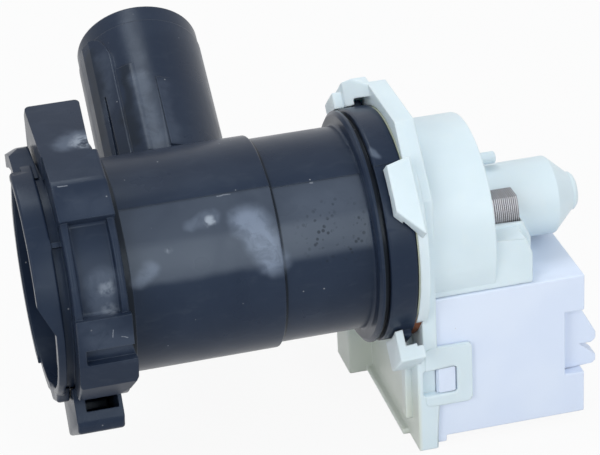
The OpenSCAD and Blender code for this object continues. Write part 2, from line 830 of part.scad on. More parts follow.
module pump_cover() {
    post_r = 2;
    post_at = around(15.9, 96);
    color([0.84, 0.90, 0.92])
        difference() {
            union() {
                slab(flange_x0, web_x1)
                    flange_outline();
                difference() {
                    slab(flange_x0, flange_x1)
                        flange_outline();
                    slab(web_x1, flange_x1 + cut)
                        offset(delta = -flange_rim)
                            flange_outline();
                }
                block(
                    [flange_x0, -flange_front, -foot_drop],
                    [flange_x1, -flange_front + pillar_d, -case_top]
                );
                difference() {
                    for (i = [0 : 3])
                        at_angle(hook_angles[i])
                            hook(i < 2, hook_depths[i], hook_walls[i]);
                    block(
                        [lip_x0 - cut, -flange_back, flange_top],
                        [flange_x1, flange_back, flange_top + 10]
                    );
                }
                hook_grip();
                rod(seat_r, flange_x0, web_x1);
                block(
                    [flange_x0 - 2.2, -flange_front + pillar_d + 1, -foot_drop],
                    [flange_x0 + cut, foot_back - 1, -foot_drop + 2.2]
                );
                block(
                    [flange_x0 - 2.2, -flange_front + 7, -foot_drop + 9],
                    [flange_x0 + cut, -flange_front + pillar_d + 1, -foot_drop + 33]
                );
                rear_foot();
                rod(cup_r, flange_x0, cup_x1);
                spin()
                    polygon([
                        [0, cup_x1 - cut], [can_r, cup_x1 - cut], [can_r, can_x1], [tip_r, cone_x1],
                        [tip_r, tip_x1 - 1], [tip_r - 1, tip_x1], [0, tip_x1]
                    ]);
                saddle(1);
                saddle(-1);
                translate([cup_x1 - cut, post_at[0], post_at[1]])
                    rotate([0, 90, 0])
                        cylinder(r = post_r, h = 10.3 + cut);
                snap_strap();
            }
            rod(cup_bore_r, flange_x0 - cut, carrier_x1);
            rod(cup_bore_r - carrier_ledge, carrier_x1 - cut, cup_x1 - cup_wall);
            rod(can_bore_r, cup_x1 - cup_wall - cut, rear_pocket_x0);
            rod(rear_pocket_r, rear_pocket_x0 - cut, can_x1);
            rod(shaft_r + 0.6, can_x1 - cut, can_x1 + 1);
            ring(seal_r0 - seat, seal_r1 + seat, flange_x0 - cut, seal_x1 + seat);
            at_angle(hook_angles[lower_hook])
                block([flange_x0 - cut, -hook_w / 2, seal_r1 - cut], [seal_x1 + seat, hook_w, shelf_r]);
            translate([0, -case_half + cut, 0])
                rotate([90, 0, 0])
                    linear_extrude(flange_front + strap_t)
                        snap_window();
        }
}

module cover_seal() {
    color([0.66, 0.35, 0.18])
        ring(seal_r0, seal_r1, collar_x1 + 0.1, seal_x1);
}

module bearing_carrier() {
    color([0.86, 0.87, 0.86])
        difference() {
            union() {
                rod(carrier_r, carrier_x0, carrier_x1 - seat);
                rod(front_mount_r + 2, front_bearing_x0, carrier_x0 + cut);
            }
            rod(front_mount_r + seat, front_bearing_x0 - cut, carrier_x1 + cut);
            ring(
                carrier_r - carrier_seal_h, carrier_r + cut,
                carrier_seal_x0, carrier_seal_x0 + carrier_seal_w
            );
        }
}

module carrier_seal() {
    color([0.12, 0.12, 0.12])
        ring(
            carrier_r - carrier_seal_h + seat, cup_bore_r - seat / 2,
            carrier_seal_x0 + seat, carrier_seal_x0 + carrier_seal_w - seat
        );
}

module front_bearing() {
    color([0.45, 0.42, 0.38])
        ring(bearing_bore_r, bearing_r, front_bearing_x0, carrier_x1);
}

module front_bearing_mount() {
    color([0.10, 0.10, 0.11])
        ring(bearing_r + seat, front_mount_r, front_bearing_x0, carrier_x1);
}

module rear_bearing() {
    color([0.45, 0.42, 0.38])
        ring(bearing_bore_r, bearing_r, rear_pocket_x0, can_x1 - seat);
}

module rear_bearing_mount() {
    color([0.10, 0.10, 0.11])
        ring(bearing_r + seat, rear_mount_r, rear_pocket_x0, can_x1 - seat);
}

// Plug guide with two catch teeth
module plug_guide() {
    heights = [0.36 * plug_h, 0.62 * plug_h];
    z0 = -plug_drop - plug_h / 2 + 0.2;
    x0 = case_x1 - plug_depth - cut;
    for (i = [0, 1])
        translate([0, -case_half + 9, z0 + i * heights[0]])
            rotate([90, 0, 0])
                linear_extrude(5.5)
                    polygon([
                        [x0, 0], [case_x1 + guide_out - 1.2, 0], [case_x1 + guide_out, 1.2],
                        [case_x1 + guide_out, 3.4], [case_x1 - 0.6, heights[i]], [x0, heights[i]]
                    ]);
}

// Outer shape of the case
module case_block() {
    block([case_x0, -case_half, -case_bottom], [case_x1, case_half, -case_top]);
}

module coil_case() {
    plug_back = 8;
    color([0.88, 0.91, 0.96])
        difference() {
            union() {
                difference() {
                    case_block();
                    block(
                        [case_x0 + case_wall, -case_half + case_wall, -case_bottom + case_wall],
                        [case_x1 - plug_depth - case_wall, case_half - case_wall, -case_top - case_wall]
                    );
                    block(
                        [case_x1 - plug_depth, -case_half - cut, -plug_drop - plug_h / 2],
                        [case_x1 + cut, plug_back, -plug_drop + plug_h / 2]
                    );
                }
                intersection() {
                    case_block();
                    rod(cup_room_r + case_wall, case_x0 - cut, cup_room_x1 + case_wall);
                }
                plug_guide();
                block(
                    [case_x0, -case_half, -case_bottom - 2.2],
                    [case_x0 + 3, -case_half + 5, -case_bottom + cut]
                );
                translate([0, -case_half + cut, 0])
                    rotate([90, 0, 0])
                        linear_extrude(cut + 1)
                            offset(delta = -0.3)
                                intersection() {
                                    snap_window();
                                    translate([case_x0, -case_bottom])
                                        square(case_l);
                                }
            }
            rod(cup_room_r, case_x0 - 2 * cut, cup_room_x1);
            for (side = [-1, 1])
                mirror([0, side < 0 ? 1 : 0, 0])
                    block(
                        [core_x0 - motor_gap, leg_in - motor_gap, -cup_room_r - case_wall - cut],
                        [core_x1 + motor_gap, pole_r + motor_gap, -case_top + cut]
                    );
            for (y = spade_places)
                translate([0, y, -plug_drop])
                    block(
                        [case_x1 - plug_depth - case_wall - cut, -spade_w / 2 - seat, -spade_t / 2 - seat],
                        [case_x1 + cut, spade_w / 2 + seat, spade_t / 2 + seat]
                    );
        }
}

// Outline of one core sheet
module sheet_outline() {
    difference() {
        union() {
            translate([-pole_r, core_bottom])
                square([2 * pole_r, yoke_h]);
            for (side = [-1, 1])
                translate([side < 0 ? -pole_r : leg_in, core_bottom])
                    square([pole_r - leg_in, -core_bottom]);
            intersection() {
                circle(pole_r);
                translate([-pole_r, 0])
                    square([2 * pole_r, pole_r * sin(pole_tip_angle)]);
            }
        }
        circle(core_bore_r);
        translate([-leg_in, core_bottom + yoke_h])
            square([2 * leg_in, pole_r - core_bottom]);
    }
}

module stator_core() {
    color([0.58, 0.58, 0.60])
        for (i = [0 : sheet_count - 1])
            slab(core_x0 + i * sheet_pitch, core_x0 + i * sheet_pitch + sheet_t)
                sheet_outline();
}

// Outline around a core leg, seen from above, grown by a margin
module leg_outline(margin) {
    translate([core_x0 - margin, leg_in - margin])
        square([core_x1 - core_x0 + 2 * margin, pole_r - leg_in + 2 * margin]);
}

module bobbin(side) {
    flange = 1.2;
    tube = motor_gap + bobbin_wall;
    color([0.75, 0.73, 0.66])
        mirror([0, side < 0 ? 1 : 0, 0])
            translate([0, 0, bobbin_bottom])
                difference() {
                    union() {
                        linear_extrude(bobbin_top - bobbin_bottom)
                            leg_outline(tube);
                        for (z = [0, bobbin_top - bobbin_bottom - flange])
                            translate([0, 0, z])
                                linear_extrude(flange)
                                    leg_outline(tube + winding_t + 0.5);
                    }
                    translate([0, 0, -cut])
                        linear_extrude(bobbin_top - bobbin_bottom + 2 * cut)
                            leg_outline(motor_gap);
                }
}

module front_bobbin() {
    bobbin(-1);
}

module rear_bobbin() {
    bobbin(1);
}

module winding(side) {
    flange = 1.2;
    tube = motor_gap + bobbin_wall;
    color([0.72, 0.40, 0.20])
        mirror([0, side < 0 ? 1 : 0, 0])
            translate([0, 0, bobbin_bottom + flange + seat])
                linear_extrude(bobbin_top - bobbin_bottom - 2 * flange - 2 * seat)
                    difference() {
                        leg_outline(tube + winding_t);
                        leg_outline(tube + seat);
                    }
}

module front_winding() {
    winding(-1);
}

module rear_winding() {
    winding(1);
}

// Spade terminals in the plug recess
spade_places = [-13, -3];
winding_x1 = core_x1 + motor_gap + bobbin_wall + winding_t;
terminal_gap = 0.49;
module terminal(y) {
    color([0.80, 0.80, 0.78])
        block(
            [winding_x1 + terminal_gap, y - spade_w / 2, -plug_drop - spade_t / 2],
            [case_x1 - 0.8, y + spade_w / 2, -plug_drop + spade_t / 2]
        );
}

module live_terminal() {
    terminal(spade_places[0]);
}

module neutral_terminal() {
    terminal(spade_places[1]);
}

// Thermal cut-out, laid against the windings at the left end of the case
cutout_size = [4, 11, 5];
module thermal_cutout() {
    winding_x0 = core_x0 - motor_gap - bobbin_wall - winding_t;
    color([0.85, 0.83, 0.78])
        translate([winding_x0 - seat, leg_mid, (bobbin_top + bobbin_bottom) / 2])
            translate([-cutout_size[0], -cutout_size[1] / 2, -cutout_size[2] / 2])
                cube(cutout_size);
}

module rotor_shaft() {
    color([0.78, 0.79, 0.80])
        rod(shaft_r, dog_x0 - 0.2, can_x1 - 0.4);
}

module rotor_core() {
    color([0.25, 0.25, 0.27])
        difference() {
            union() {
                rod(rotor_sleeve_r, rotor_x0, rotor_x1);
                rod(magnet_bore_r - seat, magnet_x0 - core_flange_t, rotor_x1);
                rod(magnet_r - 0.3, magnet_x0 - core_flange_t - seat, magnet_x0 - seat);
            }
            rod(shaft_r + seat, rotor_x0 - cut, rotor_x1 + cut);
        }
}

module rotor_magnet() {
    color([0.16, 0.16, 0.17])
        ring(magnet_bore_r, magnet_r, magnet_x0, magnet_x1);
}

module front_thrust_washer() {
    color([0.70, 0.66, 0.50])
        ring(shaft_r + seat, bearing_r, carrier_x1 + run_gap, carrier_x1 + run_gap + washer_t);
}

module rear_thrust_washer() {
    color([0.70, 0.66, 0.50])
        ring(shaft_r + seat, bearing_r, rear_pocket_x0 - run_gap - washer_t, rear_pocket_x0 - run_gap);
}

module impeller_washer() {
    color([0.70, 0.66, 0.50])
        ring(shaft_r + seat, bearing_r, front_bearing_x0 - run_gap - washer_t, front_bearing_x0 - run_gap);
}

module drive_dog() {
    color([0.55, 0.55, 0.52])
        union() {
            ring(shaft_r + seat, dog_r, dog_x0, dog_x1);
            ring(dog_r - 0.5, dog_key_r, dog_x0, dog_x1, 0, dog_angle);
        }
}

module impeller() {
    color([0.30, 0.32, 0.34])
        difference() {
            union() {
                rod(hub_r, hub_x0, impeller_x1);
                rod(impeller_r, impeller_x1 - disc_t, impeller_x1);
                for (i = [0 : vane_count - 1])
                    at_angle(i * 360 / vane_count)
                        block(
                            [impeller_x1 - disc_t - vane_w, -vane_t / 2, vane_root_r],
                            [impeller_x1 - disc_t / 2, vane_t / 2, impeller_r]
                        );
            }
            difference() {
                rod(hub_bore_r, hub_x0 - cut, hub_floor_x0);
                ring(
                    stop_r, hub_bore_r + cut, dog_x0, hub_floor_x0 + cut,
                    -stop_gap_angle - stop_angle, -stop_gap_angle
                );
            }
            rod(bearing_bore_r, hub_floor_x0 - cut, impeller_x1 + cut);
        }
}

module hub_cover() {
    color([0.30, 0.32, 0.34])
        union() {
            rod(hub_cover_r, hub_x0 - hub_cover_t - seat, hub_x0 - seat);
            ring(hub_bore_r - 1.2, hub_bore_r - seat, hub_x0 - cut, dog_x0 - 0.4);
        }
}

filter_housing();
pump_cover();
cover_seal();
bearing_carrier();
carrier_seal();
front_bearing();
front_bearing_mount();
rear_bearing();
rear_bearing_mount();
coil_case();
stator_core();
front_bobbin();
rear_bobbin();
front_winding();
rear_winding();
live_terminal();
neutral_terminal();
thermal_cutout();
rotor_shaft();
rotor_core();
rotor_magnet();
front_thrust_washer();
rear_thrust_washer();
impeller_washer();
drive_dog();
impeller();
hub_cover();
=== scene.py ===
"""Looks of the washer drain pump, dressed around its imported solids. Metres, in the part's own frame."""
import json
import math

import bmesh
import bpy
from mathutils import Matrix, Vector
from mathutils.bvhtree import BVHTree
from mathutils.geometry import intersect_point_line


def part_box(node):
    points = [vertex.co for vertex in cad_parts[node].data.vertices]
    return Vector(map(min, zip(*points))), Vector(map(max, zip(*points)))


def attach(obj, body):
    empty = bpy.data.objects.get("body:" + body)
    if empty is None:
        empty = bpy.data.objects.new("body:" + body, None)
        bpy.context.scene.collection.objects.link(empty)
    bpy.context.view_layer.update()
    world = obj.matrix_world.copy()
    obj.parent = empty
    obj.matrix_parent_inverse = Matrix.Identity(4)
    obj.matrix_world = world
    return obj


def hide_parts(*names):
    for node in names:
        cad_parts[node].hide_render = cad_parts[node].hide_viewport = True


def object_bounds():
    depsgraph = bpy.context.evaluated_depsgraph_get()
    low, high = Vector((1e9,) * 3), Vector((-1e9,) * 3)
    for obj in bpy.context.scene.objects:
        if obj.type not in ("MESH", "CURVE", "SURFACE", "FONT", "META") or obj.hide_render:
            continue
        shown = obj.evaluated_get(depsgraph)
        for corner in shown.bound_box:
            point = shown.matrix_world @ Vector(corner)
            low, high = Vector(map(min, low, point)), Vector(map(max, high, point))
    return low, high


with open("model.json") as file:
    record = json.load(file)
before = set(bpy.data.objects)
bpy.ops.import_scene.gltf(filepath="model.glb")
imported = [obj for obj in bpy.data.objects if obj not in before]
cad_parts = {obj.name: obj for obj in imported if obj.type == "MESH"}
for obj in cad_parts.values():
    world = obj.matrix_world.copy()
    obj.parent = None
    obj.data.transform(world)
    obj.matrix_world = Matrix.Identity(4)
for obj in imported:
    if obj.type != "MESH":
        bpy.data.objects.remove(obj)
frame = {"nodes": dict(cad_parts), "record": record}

cad_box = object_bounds()
MM = 0.001


# Shader maths

# Nearly all of a noise lies between these two values
NOISE_LOW, NOISE_HIGH = 0.3, 0.7
# Agreement of the rounded and the plain surface direction on an open face and on a worn edge
OPEN_FACE, WORN_EDGE = 0.985, 0.80
ROUNDING_SAMPLES = 6


class Field:
    """A value that varies over a surface. Sums, differences and products of it become Math nodes."""

    def __init__(self, finish, socket):
        self.finish = finish
        self.socket = socket

    def __add__(self, other):
        return self.finish.math("ADD", self, other)

    def __radd__(self, other):
        return self.finish.math("ADD", other, self)

    def __sub__(self, other):
        return self.finish.math("SUBTRACT", self, other)

    def __rsub__(self, other):
        return self.finish.math("SUBTRACT", other, self)

    def __mul__(self, other):
        return self.finish.math("MULTIPLY", self, other)

    def __rmul__(self, other):
        return self.finish.math("MULTIPLY", other, self)

    def ramp(self, low, high, start=0.0, end=1.0):
        """Runs smoothly from start to end as the value goes from low to high."""
        sockets = {"Value": self, "From Min": low, "From Max": high, "To Min": start, "To Max": end}
        return self.finish.node("ShaderNodeMapRange", {"interpolation_type": "SMOOTHSTEP"}, sockets)

    def between(self, low, high, soft):
        """One between two values, fading to nothing over soft on both sides."""
        return self.ramp(low - soft, low) * self.ramp(high + soft, high)


class Finish:
    """The node tree of one material or of the world, in the making."""

    def __init__(self, owner):
        self.owner = owner
        owner.use_nodes = True
        self.tree = owner.node_tree
        self.tree.nodes.clear()
        self.place = self.node("ShaderNodeTexCoord", output="Object")

    def node(self, kind, settings=None, sockets=None, output=0):
        """Adds a node: its settings first, then the values or links of its sockets."""
        made = self.tree.nodes.new(kind)
        for key, value in (settings or {}).items():
            setattr(made, key, value)
        for key, value in (sockets or {}).items():
            self.feed(made.inputs[key], value)
        return Field(self, made.outputs[output]) if made.outputs else None

    def feed(self, socket, value):
        """Links a field to a socket, or sets the socket's own value."""
        if isinstance(value, Field):
            self.tree.links.new(value.socket, socket)
        elif socket.type == "RGBA":
            socket.default_value = (*value[:3], 1.0)
        else:
            socket.default_value = value

    def math(self, operation, first, second):
        """Works on two values."""
        return self.node("ShaderNodeMath", {"operation": operation}, {0: first, 1: second})

    def vector(self, operation, first, second, output="Vector"):
        """Works on two places, directions or colours."""
        return self.node("ShaderNodeVectorMath", {"operation": operation}, {0: first, 1: second}, output)

    def along(self, axis):
        """Distance along one axis of the part."""
        return self.node("ShaderNodeSeparateXYZ", None, {"Vector": self.place}, axis)

    def turned(self):
        """Angle around the pump axis in radians, from the front upwards."""
        return self.math("ARCTAN2", self.along("Z"), self.along("Y") * -1.0)

    def off_axis(self):
        """Distance from the pump axis."""
        across = self.vector("MULTIPLY", self.place, (0.0, 1.0, 1.0))
        return self.vector("LENGTH", across, (0, 0, 0), "Value")

    def stretch(self, scale):
        """The place on the part, scaled along each axis."""
        return self.node("ShaderNodeMapping", None, {"Vector": self.place, "Scale": scale})

    def noise(self, size_mm, detail=2.0, rough=0.5, place=None, twist=0.0, output=0):
        """Soft blotches about size_mm across."""
        sockets = {
            "Vector": place or self.place, "Scale": 1 / (size_mm * MM), "Detail": detail,
            "Roughness": rough, "Distortion": twist,
        }
        return self.node("ShaderNodeTexNoise", None, sockets, output)

    def uneven(self, size_mm, low, high, detail=2.0):
        """A value that wanders between low and high, in blotches about size_mm across."""
        return self.noise(size_mm, detail).ramp(NOISE_LOW, NOISE_HIGH, low, high)

    def cells(self, size_mm):
        """Distance to the nearest of scattered points about size_mm apart."""
        sockets = {"Vector": self.place, "Scale": 1 / (size_mm * MM)}
        return self.node("ShaderNodeTexVoronoi", {"feature": "F1"}, sockets)

    def ragged(self, size_mm, reach_mm):
        """The place on the part, pushed about so that what is drawn by it gets a ragged outline."""
        push = self.vector("SUBTRACT", self.noise(size_mm, 3, 0.6, output="Color"), (0.5, 0.5, 0.5))
        push = self.vector("MULTIPLY", push, (2 * reach_mm * MM,) * 3)
        return self.vector("ADD", self.place, push)

    def near(self, place, point_mm, radius_mm, soft):
        """One at a point of the part, fading to nothing at the radius; soft is the faded share of it."""
        away = self.vector("DISTANCE", place, tuple(c * MM for c in point_mm), "Value")
        return away.ramp(radius_mm * MM, radius_mm * MM * (1 - soft))

    def stroke(self, place, from_mm, to_mm, width_mm, soft):
        """One on a straight mark between two points of the part; soft is the faded share of its width."""
        start = Vector(from_mm) * MM
        run = (Vector(to_mm) - Vector(from_mm)) * MM
        off = self.vector("SUBTRACT", place, tuple(start))
        share = self.vector("DOT_PRODUCT", off, tuple(run / run.length_squared), "Value")
        share = self.math("MINIMUM", self.math("MAXIMUM", share, 0.0), 1.0)
        foot = self.node("ShaderNodeVectorMath", {"operation": "SCALE"}, {0: tuple(run), "Scale": share})
        away = self.vector("DISTANCE", off, foot, "Value")
        return away.ramp(width_mm * MM, width_mm * (1 - soft) * MM)

    def mix(self, amount, first, second):
        """Colour that goes from first to second with the amount."""
        return self.node("ShaderNodeMix", {"data_type": "RGBA"}, {0: amount, 6: first, 7: second}, 2)

    def rounded(self, radius_mm):
        """Surface direction with its edges rounded off."""
        return self.node("ShaderNodeBevel", {"samples": ROUNDING_SAMPLES}, {"Radius": radius_mm * MM})

    def edges(self, rounded):
        """Grows from nothing on open faces to about one on edges."""
        plain = self.node("ShaderNodeNewGeometry", output="Normal")
        return self.vector("DOT_PRODUCT", rounded, plain, "Value").ramp(OPEN_FACE, WORN_EDGE)

    def bump(self, height, strength, depth_mm, normal=None):
        """Surface direction with small hills and hollows, over a given direction if there is one."""
        sockets = {"Height": height, "Strength": strength, "Distance": depth_mm * MM}
        if normal is not None:
            sockets["Normal"] = normal
        return self.node("ShaderNodeBump", None, sockets)

    def close(self, shader):
        """Ends the tree with a shader and gives back the material or the world."""
        is_material = isinstance(self.owner, bpy.types.Material)
        kind = "ShaderNodeOutputMaterial" if is_material else "ShaderNodeOutputWorld"
        self.node(kind, None, {"Surface": shader})
        return self.owner

    def surface(self, **sockets):
        """Closes the finish with one shader; each name is a socket of it."""
        named = {key.replace("_", " "): value for key, value in sockets.items()}
        return self.close(self.node("ShaderNodeBsdfPrincipled", None, named))


def new_finish(name):
    """A new material, ready for its nodes."""
    return Finish(bpy.data.materials.new(name))


# Marks, painted shade and painted highlights on the housing, each at its place on the part in mm

# Painted shade in the narrow grooves round the housing. From and to along the pump axis, fade at both ends,
# and the radii where the dark starts and is full
GROOVE_SHADE_BANDS = {
    "collar's groove": (103.4, 105.0, 0.3, 37.0, 36.2),
    "between barrel and neck": (72.5, 73.1, 0.5, 33.6, 33.2),
    "behind the ring": (22.4, 24.8, 0.3, 38.0, 35.4),
}
# Start, end, width and strength of the painted shade runs between the ribs of the inlet, where shade falls
SHADE_RUNS = {
    "beside the middle": ((38.5, 23.8, 29.6), (42.0, 52.4, 42.8), 3.4, 0.60),
    "left side": ((30.8, 37.3, 27.9), (33.8, 65.3, 42.2), 5.0, 0.50),
}
# Start, end, width and strength of the broad pale smears: mostly painted highlights and painted reflections
# of the lamps, in part dull haze
SHEEN_SMEARS = {
    "inlet, lower middle": ((44.8, 20.7, 30.7), (45.9, 45.9, 41.3), 5.5, 0.20),
    "inlet, upper middle": ((45.9, 45.9, 41.3), (46.1, 69.2, 50.9), 4.5, 0.07),
    "inlet, right side": ((50.8, 19.8, 31.6), (52.9, 40.2, 39.8), 4.5, 0.10),
    "barrel's end": ((64.0, -26.2, 21.6), (68.6, -31.6, 12.4), 8.0, 0.85),
    "barrel, beside the ring": ((28.6, -31.6, 12.6), (31.0, -31.2, 13.5), 4.5, 0.45),
    "ring's recess": ((15.1, -36.9, 15.5), (15.4, -39.3, 7.5), 6.5, 0.24),
    "support tab": ((14.0, 0.0, 45.1), (18.0, 4.0, 45.1), 6.0, 0.35),
    "collar": ((106.8, -16.1, 34.3), (107.8, -17.4, 33.6), 2.2, 0.40),
    "barrel, middle": ((47.0, -24.9, 23.2), (53.0, -24.0, 24.1), 3.5, 0.30),
    "ring, lower block": ((12.0, -44.0, 1.0), (21.0, -43.5, -3.0), 9.0, 0.14),
    "ring, upper block": ((12.0, -26.0, 35.8), (20.0, -26.0, 35.8), 8.0, 0.07),
    "inlet, left side": ((38.0, 62.0, 43.5), (33.5, 42.0, 33.5), 4.0, 0.10),
    "neck": ((84.0, -23.0, 23.2), (100.0, -23.0, 23.2), 9.0, 0.08),
}
# Point, radius and strength of the pale flaky spots
FLAKY_SPOTS = {
    "barrel, middle": ((52.5, -24.6, 23.4), 2.6, 0.80),
    "ring's recess, high": ((16.4, -37.6, 13.4), 3.4, 0.35),
    "ring's recess, low": ((16.8, -39.3, 7.2), 3.0, 0.25),
    "support tab": ((18.6, -0.1, 44.9), 5.0, 0.60),
    "barrel, near the ring": ((38.0, -28.8, 18.1), 1.6, 0.35),
}
# Start, end and width of the scratches
SCRATCHES = {
    "ring, upper block": ((7.4, -18.9, 40.3), (10.2, -19.0, 40.2), 0.30),
    "barrel, at the parting line": ((55.8, -18.7, 28.4), (59.9, -18.6, 28.4), 0.30),
    "neck": ((85.6, -17.8, 27.3), (86.3, -17.8, 27.3), 0.40),
    "ring, lower block": ((16.4, -44.0, 2.6), (16.0, -44.0, 0.2), 0.20),
    "ring, lower block, right": ((18.8, -44.0, -0.1), (20.6, -44.0, -0.7), 0.20),
}
# Middle and radius of the patch of pits on the neck
PITTED_POINT, PITTED_R = (91, -28.5, 15.5), 14
# The painted highlight band's ends along the pump axis, with their fade
SHEEN_FROM, SHEEN_TO, SHEEN_END_FADE = 25, 101, 0.5
# Angles around the pump axis: the parting line that the painted highlight band starts from, where it is full
# below that line, the thinner band under the line, and the lower edge with how far it wavers
PARTING_LINE, SHEEN_START = 1.006, 1.001
THIN_BAND, BAND_END, BAND_SHARE = 0.66, 0.58, 0.75
SHEEN_END, SHEEN_FULL, SHEEN_WAVER = 0.24, 0.34, 0.10


# Finishes

def front_haze_and_sheen(f, cloud):
    """Painted highlight on the front of the barrel and the neck, from the parting line down: a painted
    reflection of the front lamp, in part dull haze.
    """
    x, turned = f.along("X"), f.turned()
    wavering = turned + (cloud - 0.5) * SHEEN_WAVER
    sheen = wavering.ramp(SHEEN_END, SHEEN_FULL) * turned.ramp(PARTING_LINE, SHEEN_START)
    sheen = sheen * x.between(SHEEN_FROM * MM, SHEEN_TO * MM, SHEEN_END_FADE * MM)
    return sheen * turned.ramp(THIN_BAND, BAND_END, BAND_SHARE, 1.0) * cloud.ramp(0.30, 0.62, 0.60, 1.0)


def painted_groove_shade(f):
    """Painted shade: one at the bottom of the narrow grooves round the housing, where shade falls."""
    x, radius = f.along("X"), f.off_axis()
    return sum(
        x.between(start * MM, end * MM, soft * MM) * radius.ramp(outer * MM, inner * MM)
        for start, end, soft, outer, inner in GROOVE_SHADE_BANDS.values()
    )


def handled(f, tone, soft):
    """The housing's tone with its painted shade runs, painted highlight smears, flaky spots and scratches.
    """
    painted_shade_dark, painted_sheen_pale = (0.004, 0.007, 0.012), (0.200, 0.245, 0.325)
    flake_pale, scratch_pale = (0.36, 0.41, 0.48), (0.33, 0.36, 0.41)
    broad_fade, spot_fade, scratch_fade, scratch_strength = 0.8, 0.7, 0.7, 0.5
    torn = f.ragged(7, 2.2)
    fine = f.ragged(1.4, 0.35)
    patchy = f.noise(5, 4, 0.65, twist=0.6).ramp(0.30, 0.58, 0.55, 1.05)
    flaky = f.noise(2.6, 3, 0.6).ramp(0.36, 0.60)
    # Painted shade in the hollows beside the inlet's ribs.
    for start, end, width, strength in SHADE_RUNS.values():
        tone = f.mix(f.stroke(soft, start, end, width, broad_fade) * strength, tone, painted_shade_dark)
    # Pale smears: mostly painted highlights and painted reflections, in part dull haze.
    for start, end, width, strength in SHEEN_SMEARS.values():
        tone = f.mix(f.stroke(soft, start, end, width, broad_fade) * patchy * strength, tone, painted_sheen_pale)
    for point, radius, strength in FLAKY_SPOTS.values():
        tone = f.mix(f.near(torn, point, radius, spot_fade) * flaky * strength, tone, flake_pale)
    for start, end, width in SCRATCHES.values():
        tone = f.mix(f.stroke(fine, start, end, width, scratch_fade) * scratch_strength, tone, scratch_pale)
    return tone


def housing_finish():
    """Dark blue-grey moulded plastic with dust and handling marks, a painted highlight band that is in part
    dull haze, painted highlight smears, and painted shade in grooves and runs.
    """
    dark, light = (0.0130, 0.0215, 0.0430), (0.0180, 0.0280, 0.0520)
    smear_grey, sheen_grey, worn_grey = (0.075, 0.092, 0.118), (0.092, 0.112, 0.146), (0.080, 0.098, 0.125)
    # The deepest dark is the painted shade in the grooves.
    pit_dark, groove_shade_dark, dust_pale = (0.010, 0.014, 0.022), (0.003, 0.005, 0.009), (0.36, 0.38, 0.41)
    f = new_finish("housing_plastic")
    edge = f.rounded(0.5)
    soft = f.ragged(16, 5.0)
    cloud = f.noise(30, 3, 0.55, twist=0.5)
    smear = f.noise(9, 4, 0.6, f.stretch((1.0, 2.2, 2.2)), 0.8).ramp(0.50, 0.75)
    pitted = f.near(soft, PITTED_POINT, PITTED_R, 0.6) * f.noise(4, 2).ramp(0.44, 0.54)
    pits = f.cells(1.7).ramp(0.42, 0.22) * pitted
    dust = f.cells(4.2).ramp(0.075, 0.04) * f.noise(9, 2).ramp(0.52, 0.62)
    tone = f.mix(cloud.ramp(0.35, 0.65), dark, light)
    tone = f.mix(smear * 0.10, tone, smear_grey)
    # Painted reflection band of the front lamp, in part dull haze, on the front of the barrel and the neck.
    tone = f.mix(front_haze_and_sheen(f, cloud) * 0.70, tone, sheen_grey)
    tone = f.mix(f.edges(edge) * 0.22, tone, worn_grey)
    tone = f.mix(pits * 0.75, tone, pit_dark)
    # Painted shade darkens the bottoms of the grooves.
    tone = f.mix(painted_groove_shade(f) * 0.85, tone, groove_shade_dark)
    tone = handled(f, tone, soft)
    tone = f.mix(dust * 0.6, tone, dust_pale)
    grain = f.noise(0.55, 2) * 0.5 + f.noise(5, 2) * 0.6
    return f.surface(
        Base_Color=tone, Roughness=f.uneven(14, 0.27, 0.35, 3) + dust * 0.2, IOR=1.49,
        Specular_IOR_Level=0.18, Specular_Tint=(0.78, 0.90, 1.0),
        Normal=f.bump(grain, 0.2, 0.1, edge),
    )


def cover_finish():
    """Natural polypropylene, milky and cool, warmer low down on the front of the plate."""
    milk, pale_milk = (0.675, 0.785, 0.835), (0.715, 0.825, 0.875)
    flow_pale, low_warm, worn_pale = (0.73, 0.81, 0.83), (0.71, 0.73, 0.62), (0.76, 0.85, 0.89)
    speck_brown = (0.38, 0.36, 0.30)
    warm_from_z, warm_full_z = -34 * MM, -60 * MM
    flange_front_x, flange_behind_x = 114.5 * MM, 116.0 * MM
    f = new_finish("cover_plastic")
    edge = f.rounded(0.6)
    cloud = f.noise(22, 3, 0.5).ramp(0.35, 0.7)
    flow = f.noise(8, 3, 0.6, f.stretch((1.6, 1.0, 1.0)), 0.5).ramp(0.5, 0.75)
    front = f.along("X").ramp(flange_behind_x, flange_front_x)
    low = f.along("Z").ramp(warm_from_z, warm_full_z) * front
    specks = f.cells(5.5).ramp(0.05, 0.02) * f.noise(11, 2).ramp(0.54, 0.62)
    tone = f.mix(cloud, milk, pale_milk)
    tone = f.mix(flow * 0.25, tone, flow_pale)
    tone = f.mix(low * 0.7, tone, low_warm)
    tone = f.mix(f.edges(edge) * 0.35, tone, worn_pale)
    tone = f.mix(specks * 0.45, tone, speck_brown)
    grain = f.noise(0.9, 2) * 0.5 + f.noise(7, 2)
    return f.surface(
        Base_Color=tone, Roughness=f.uneven(12, 0.34, 0.46, 3), IOR=1.49,
        Subsurface_Weight=0.35, Subsurface_Radius=(1.0, 1.0, 0.9), Subsurface_Scale=2.0 * MM,
        Normal=f.bump(grain, 0.16, 0.12, edge),
    )


